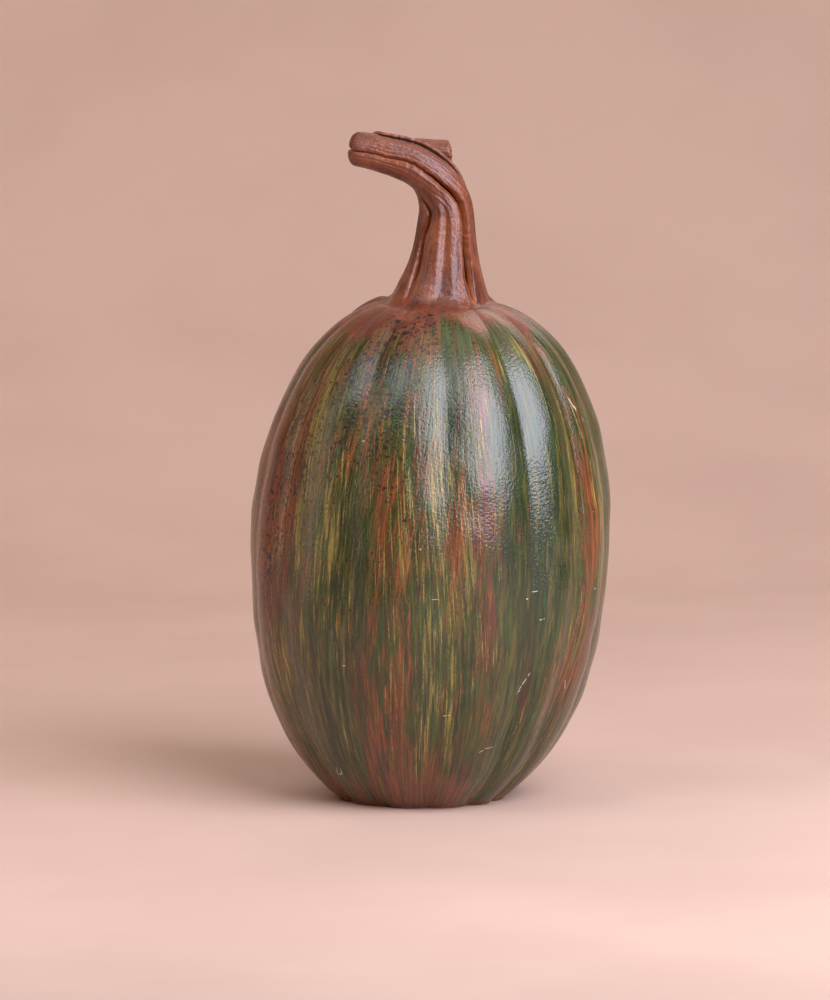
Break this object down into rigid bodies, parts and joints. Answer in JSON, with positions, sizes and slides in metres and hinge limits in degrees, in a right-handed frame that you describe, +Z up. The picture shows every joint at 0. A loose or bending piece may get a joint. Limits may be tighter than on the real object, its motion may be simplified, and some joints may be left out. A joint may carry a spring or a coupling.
{
  "type": "ceramic pumpkin figure",
  "caption": "Tall lobed ceramic gourd with a painted, varnished hollow body, a small flat foot and a crooked stem of twisted clay rolls.",
  "frame": {"origin": "middle of the flat foot, in the plane that the figure stands on", "axes": "+Z up along the body, -Y towards the front, +X to the right as seen from the front; the stem crooks towards -X"},
  "size_m": [0.1281, 0.1274, 0.237],
  "materials": {
    "painted_body": "satin",
    "stem_clay": "satin",
    "bare_clay": "matte"
  },
  "bodies": {
    "root": {"body_lower_half": "painted_body", "body_upper_half": "painted_body", "seam_coil": "bare_clay", "stem_collar": "stem_clay", "stem_roll_front": "stem_clay", "stem_roll_right": "stem_clay", "stem_roll_back": "stem_clay", "stem_roll_back_left": "stem_clay", "stem_roll_left": "stem_clay", "stem_roll_top": "stem_clay"}
  },
  "joints": []
}
